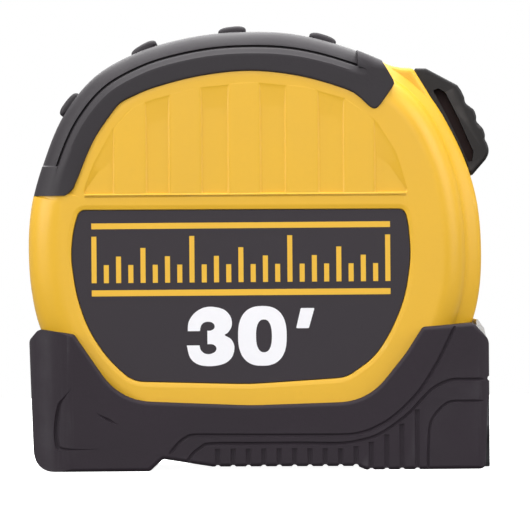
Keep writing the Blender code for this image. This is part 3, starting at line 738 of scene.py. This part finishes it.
NOSE_LINE = [
    (46, 12.8), (40, 12.8), (36.7, 12.75), (35.1, 12.0), (33.4, 10.2), (32.5, 8.2), (32.2, 4.5),
    (32.1, 0.5), (32.1, -3),
]  # fmt: skip
# The creases cut in the boot's face: the line, the cutter's radius, and how fast its ends run out.
CREASES = (
    (UPPER_GROOVE, 0.36, 60), (LOWER_GROOVE, 0.36, 60), (PAD_LINE, 0.5, 3), (CREASE, 0.36, 2.2),
    (NOSE_LINE, 0.3, 60),
)  # fmt: skip
RIB_START, RIB_GAP, LAST_RIB = -7.6, 2.9, 31.5  # x of the ribs along the base
RIB_R = 0.6


BOOT_BACK, BOOT_NOSE = -43.4, 44  # x of the boot's plan
BACK_TURN = 9.5  # the boot's round rear corners, seen from above


def boot_face_at(x):
    """How far out the boot's face is at x, where it turns round the rear corner."""
    t = math.sqrt(min(max((x - BOOT_BACK) / BACK_TURN, 0), 1))
    return BOOT_FACE - BACK_TURN * (1 - t) ** 2


def running_out(path, size, ends):
    """A cutter's radius at each point of its path, less towards both ends."""
    last = len(path) - 1
    return [
        size * max(0.12, min(1, i / last * ends, (1 - i / last) * ends)) for i in range(len(path))
    ]


def base_at(x):
    """z of the boot's underside at x, where its ribs are."""
    return 0.75 if x < 19 else 0


def boot(side):
    form = slab(BOOT, PARTING, BOOT_FACE, edge=0.8, steps=6)
    name = "front_base_boot" if side < 0 else "rear_base_boot"
    obj = mesh_of(name + "_skin", form, side)
    # Its plan: round at the back, tight at the nose.
    plan = rounded([
        (BOOT_BACK, -12, 0.1), (BOOT_BACK, BOOT_FACE + 0.02, BACK_TURN),
        (BOOT_NOSE, BOOT_FACE + 0.02, 2.8), (BOOT_NOSE, -12, 0.1),
    ], turn=5)  # fmt: skip
    footprint = Form()
    low, high = (footprint.ring(plan, level) for level in (-5, 40))
    footprint.bridge(low, high)
    footprint.cap(low)
    footprint.cap(high)
    footprint.verts = [(x, z, y) for x, y, z in footprint.verts]
    cut(obj, footprint, side=side, operation="INTERSECT")
    grooves = []
    for points, size, ends in CREASES:
        path = through(points, 5)
        on_face = [(x, boot_face_at(x) + 0.02, z) for x, z in path]
        grooves.append(pipe(on_face, running_out(path, size, ends), sides=8))
    lower = np.array(LOWER_GROOVE)
    ribs, feet = [], []
    for i in range(14):
        x = RIB_START + RIB_GAP * i
        if x > LAST_RIB:
            continue
        top = float(np.interp(x, lower[:, 0], lower[:, 1])) - 0.95
        ribs.append(pipe([(x, BOOT_FACE + 0.25, top), (x, BOOT_FACE + 0.25, -2)], RIB_R))
        low = base_at(x) - 0.25
        feet.append(pipe([(x, 30, low), (x, -2, low)], RIB_R))
    feet += [pipe([(43.95, 30, z), (43.95, 14.8, z)], size) for z, size in ((17.1, 0.5), (12.8, 0.35))]
    openings = [MOUTH, brick(42.6, 60, -1, 15.2, -2, 17.2), brick(41.4, 60, -1, 14.5, 16.8, 40)]
    holes = SCREW_HOLES[:2] if side > 0 else ()
    cut(obj, *openings, *grooves, join(*ribs), join(*feet), *holes, side=side)
    if side > 0:
        lip(obj, offset(BOOT, 0.3), *openings)
    return piece(obj, "case", "boot_rubber", name, sharp=18)


# Labels, with their print


RULES = ((45.8, 46.9), (33.1, 34.25))  # z of the two printed rules
RULE_ENDS = (-31.2, 25.3)
TICK_GAP, TICK_FOOT, TICK_WIDTH = 2.3146, 35.6, 0.95
TICK_HEIGHTS = (8.8, 3.4, 5.0, 3.4, 6.6, 3.4, 5.0, 3.4)
LABEL_FACE = 20.2


def rule(z0, z1):
    x0, x1 = RULE_ENDS
    return rounded([(x0, z0, 0.1), (x1, z0, 0.1), (x1, z1, 0.1), (x0, z1, 0.1)])


def tick(i):
    """The outline of one of the label's ruler ticks."""
    x, top = RULE_ENDS[0] + TICK_GAP * i, TICK_FOOT + TICK_HEIGHTS[i % 8]
    return np.array([(x, TICK_FOOT), (x + TICK_WIDTH, TICK_FOOT), (x + TICK_WIDTH, top), (x, top)])


def sign_of_length():
    """The outlines of the length mark, thirty feet, as solid shapes and the hole in the nought."""
    three = anticlockwise(np.concatenate([through(line, 6) for line in (
        [(-13.1, 26.4), (-12.9, 28.2), (-11.8, 29.8), (-10.1, 30.8), (-8.2, 30.95), (-6.2, 30.4),
         (-4.95, 29.0), (-4.8, 27.3), (-5.5, 26.1), (-6.1, 25.6), (-4.9, 24.8), (-4.3, 23.3),
         (-4.8, 21.4), (-6.3, 20.2), (-8.8, 19.75), (-11.2, 20.1), (-12.7, 21.4), (-13.3, 23.7)],
        [(-10.9, 23.7), (-10.65, 22.8), (-9.9, 22.15), (-8.9, 22.05), (-8.0, 22.45), (-7.7, 23.1),
         (-8.0, 23.65), (-8.6, 23.9), (-9.4, 23.9)],
        [(-9.4, 26.45), (-8.7, 26.5), (-8.1, 26.9), (-8.05, 27.5), (-8.5, 28.0), (-9.3, 28.15),
         (-10.1, 27.95), (-10.6, 27.35), (-10.8, 26.4)],
    )]))  # fmt: skip
    nought = ellipse(1.0, 25.4, 4.6, 5.65, power=2.5)
    counter = ellipse(1.3, 25.4, 1.5, 3.1, power=2.4)
    prime = rounded([(8.3, 30.6, 0.2), (10.9, 30.6, 0.2), (9.8, 26.8, 0.2), (7.4, 26.8, 0.2)])
    return three, nought, counter, prime


def ink(shape, holes=()):
    """A thin solid of print on the label's face."""
    form = Form()
    lows, highs = [], []
    for outline in (shape, *holes):
        low, high = form.ring(outline, LABEL_FACE - 0.1), form.ring(outline, LABEL_FACE + 0.03)
        form.bridge(low, high)
        lows.append(low)
        highs.append(high)
    form.cap(*lows)
    form.cap(*highs)
    return form


def label(side):
    name = "front_label" if side < 0 else "rear_label"
    plate = mesh_of(name + "_skin", slab(LABEL, FACE - 1.0, LABEL_FACE, edge=0.12, steps=3), side)
    piece(plate, "case", "label_print", name)

    def facing(outline):
        """Seen from the rear, x runs the other way, so the print turns round."""
        return outline if side < 0 else np.stack([-outline[:, 0] - 2.9, outline[:, 1]], 1)[::-1]

    # Between the rules, a stretch of graduated scale in place of a name.
    printed = [*(rule(*ends) for ends in RULES), *(tick(i) for i in range(25))]
    yellow = mesh_of(name + "_rules", join(*(ink(facing(o)) for o in printed)), side)
    three, nought, counter, prime = sign_of_length()
    length = join(ink(facing(three)), ink(facing(nought), [facing(counter)]), ink(facing(prime)))
    white = mesh_of(name + "_size", length, side)
    for obj, colour in ((yellow, "yellow_ink"), (white, "white_ink")):
        piece(obj, "case", colour)


# The thumb button

SLOT_FLOOR = 5.6
SCALLOPS = [
    (39.9, 70.6), (40.15, 69.5), (41.0, 68.75), (41.75, 68.1), (42.15, 67.0), (42.2, 66.0),
    (42.75, 65.3), (43.45, 64.5), (43.8, 63.4), (43.8, 62.5), (44.2, 61.7), (44.5, 60.6),
    (44.4, 59.6), (43.9, 58.6),
]  # fmt: skip


def button():
    outline = rounded([
        (30.6, 76.2, 0.3), (32.6, 76.15, 0.8), (38.6, 72.9, 0.8), (39.3, 71.9, 0.7),
        *((x, z, 0.02) for x, z in through(SCALLOPS, 5)), (41.2, 55.5, 0.4),
        *((x, z, 0.05) for x, z in arc(42.9, 19.5, 46.5, 12)),
    ])  # fmt: skip
    slot = rounded([
        (33.9, 71.9, 0.3), (35.0, 72.3, 0.4), (36.3, 71.5, 0.5), (38.8, 66.5, 6), (41.6, 60.1, 0.5),
        (41.3, 58.3, 0.3), (40.5, 58.2, 0.3), (38.9, 62.0, 6), (36.4, 67.3, 6),
    ])  # fmt: skip
    halves = []
    for side in (-1, 1):
        halves.append(mesh_of("thumb_button_half", slab(outline, 0, 9.3, edge=0.6, steps=4), side))
    whole = bmesh.new()
    for half in halves:
        whole.from_mesh(half.data)
    bmesh.ops.remove_doubles(whole, verts=whole.verts, dist=1e-7)
    inner = [f for f in whole.faces if all(abs(v.co.y - OFFSET[1] * MM) < 1e-6 for v in f.verts)]
    bmesh.ops.delete(whole, geom=inner, context="FACES")
    bmesh.ops.recalc_face_normals(whole, faces=whole.faces)
    obj = halves[0]
    whole.to_mesh(obj.data)
    whole.free()
    obj.name = "thumb_button_skin"
    bpy.data.objects.remove(halves[1])
    for side in (-1, 1):
        cut(obj, plain_slab(slot, SLOT_FLOOR, 12), side=side)
    piece(obj, "lock", "black_plastic", "thumb_button")
    # The slot's floor is given the painted shade of the shadowed gap beside the case.
    obj.data.materials.append(MATERIALS["recess"])
    for face in obj.data.polygons:
        depth = abs(face.center.y / MM - OFFSET[1])
        if abs(depth - SLOT_FLOOR) < 0.01 and abs(face.normal.y) > 0.99:
            face.material_index = 1
    return obj


for side in (-1, 1):
    shell(side)
    grip(side)
    boot(side)
    label(side)
button()

# Pieces carried over from the frame: eased edges and their own finishes.
EASED = {
    "end_hook": ("blackened_steel", 0.18),
    "hook_rivet_1": ("blackened_steel", 0.12), "hook_rivet_2": ("blackened_steel", 0.12),
    "hook_rivet_3": ("blackened_steel", 0.12),
    "blade": ("blade_coating", 0.0), "blade_coil": ("blade_coating", 0.0),
    "power_spring": ("spring_steel", 0.0), "drum": ("black_plastic", 0.2),
    "drum_cover": ("black_plastic", 0.2), "spring_arbor": ("black_plastic", 0.2),
    "mouth_bumper": ("black_rubber", 0.2), "nose_insert": ("natural_nylon", 0.25),
    "lock_lever": ("black_plastic", 0.2), "belt_clip_plate": ("spring_steel", 0.15),
    "belt_clip_arm": ("spring_steel", 0.15), "belt_clip_screw": ("spring_steel", 0.1),
    **{f"case_screw_{i}": ("blackened_steel", 0.1) for i in range(1, 5)},
}  # fmt: skip
for name, (finish, edge) in EASED.items():
    obj = NODES[name]
    obj.data.materials.clear()
    obj.data.materials.append(MATERIALS[finish])
    if edge:
        bevel = obj.modifiers.new("eased", "BEVEL")
        bevel.width, bevel.segments, bevel.limit_method = edge * MM, 3, "ANGLE"
        bevel.angle_limit = math.radians(40)
        bevel.use_clamp_overlap = True
        obj.modifiers.new("normals", "WEIGHTED_NORMAL")

# Stage, light and camera

WORLD_LOW, WORLD_HIGH = 0.16, 0.64
FLOOR_HALF = 0.6
AIM = (0, 0, 0.04)  # where the lights point
LENS, SENSOR = 400, 36  # millimetres
FRAME_WIDTH = 0.1002  # metres across the picture, at the yellow face
VIEW_CENTRE = (1.6, 0.0388)  # x in case millimetres, z in metres
ROLL = math.radians(0.45)
# Name, place, side in metres and power in watts.
LIGHTS = (
    ("top", (0.0, 0.05, 0.6), 0.7, 6.0),
    ("left", (-0.6, -0.25, 0.3), 0.5, 2.8),
    ("right", (0.6, -0.25, 0.3), 0.5, 2.1),
    ("front", (0, -0.9, 0.35), 0.6, 2.35),
    ("behind", (0, 0.7, 0.5), 0.6, 5.0),
)


def world():
    scene = bpy.context.scene
    scene.world = bpy.data.worlds.new("studio")
    scene.world.use_nodes = True
    nodes, links = scene.world.node_tree.nodes, scene.world.node_tree.links
    back = nodes["Background"]
    back.inputs["Color"].default_value = (1, 1, 1, 1)
    # White to the eye. As light it falls off towards the ground.
    height = nodes.new("ShaderNodeSeparateXYZ")
    links.new(nodes.new("ShaderNodeTexCoord").outputs["Generated"], height.inputs["Vector"])
    sky = nodes.new("ShaderNodeMapRange")
    levels = {"From Min": -1, "From Max": 1, "To Min": WORLD_LOW, "To Max": WORLD_HIGH}
    for key, number in levels.items():
        sky.inputs[key].default_value = number
    links.new(height.outputs["Z"], sky.inputs["Value"])
    strength = nodes.new("ShaderNodeMix")
    strength.inputs["B"].default_value = 1.0
    links.new(nodes.new("ShaderNodeLightPath").outputs["Is Camera Ray"], strength.inputs["Factor"])
    links.new(sky.outputs["Result"], strength.inputs["A"])
    links.new(strength.outputs["Result"], back.inputs["Strength"])
    scene.view_settings.view_transform = "Standard"
    scene.view_settings.look = "None"
    scene.view_settings.exposure = 0
    scene.view_settings.gamma = 1


def floor():
    mesh = bpy.data.meshes.new("floor")
    s = FLOOR_HALF
    mesh.from_pydata([(-s, -s, 0), (s, -s, 0), (s, s, 0), (-s, s, 0)], [], [(0, 1, 2, 3)])
    obj = bpy.data.objects.new("floor", mesh)
    bpy.context.scene.collection.objects.link(obj)
    material = bpy.data.materials.new("floor")
    material.use_nodes = True
    shader = material.node_tree.nodes["Principled BSDF"]
    shader.inputs["Base Color"].default_value = (0.8, 0.8, 0.8, 1)
    shader.inputs["Roughness"].default_value = 0.9
    shader.inputs["Emission Color"].default_value = (1, 1, 1, 1)
    shader.inputs["Emission Strength"].default_value = 0.97
    mesh.materials.append(material)
    obj.visible_diffuse = obj.visible_glossy = False


def softbox(name, place, size, power):
    light = bpy.data.lights.new(name, "AREA")
    light.shape, light.size, light.energy = "SQUARE", size, power
    obj = bpy.data.objects.new(name, light)
    obj.location = place
    obj.rotation_euler = (Vector(AIM) - Vector(place)).to_track_quat("-Z", "Y").to_euler()
    bpy.context.scene.collection.objects.link(obj)


def camera():
    data = bpy.data.cameras.new("camera")
    data.lens, data.sensor_width = LENS, SENSOR
    data.clip_end = 10
    obj = bpy.data.objects.new("camera", data)
    distance = FRAME_WIDTH * data.lens / data.sensor_width
    face = (OFFSET[1] - FACE) * MM
    obj.location = ((VIEW_CENTRE[0] + OFFSET[0]) * MM, face - distance, VIEW_CENTRE[1])
    obj.rotation_euler = (math.pi / 2, ROLL, 0)
    bpy.context.scene.collection.objects.link(obj)
    bpy.context.scene.camera = obj


world()
floor()
for light in LIGHTS:
    softbox(*light)
camera()
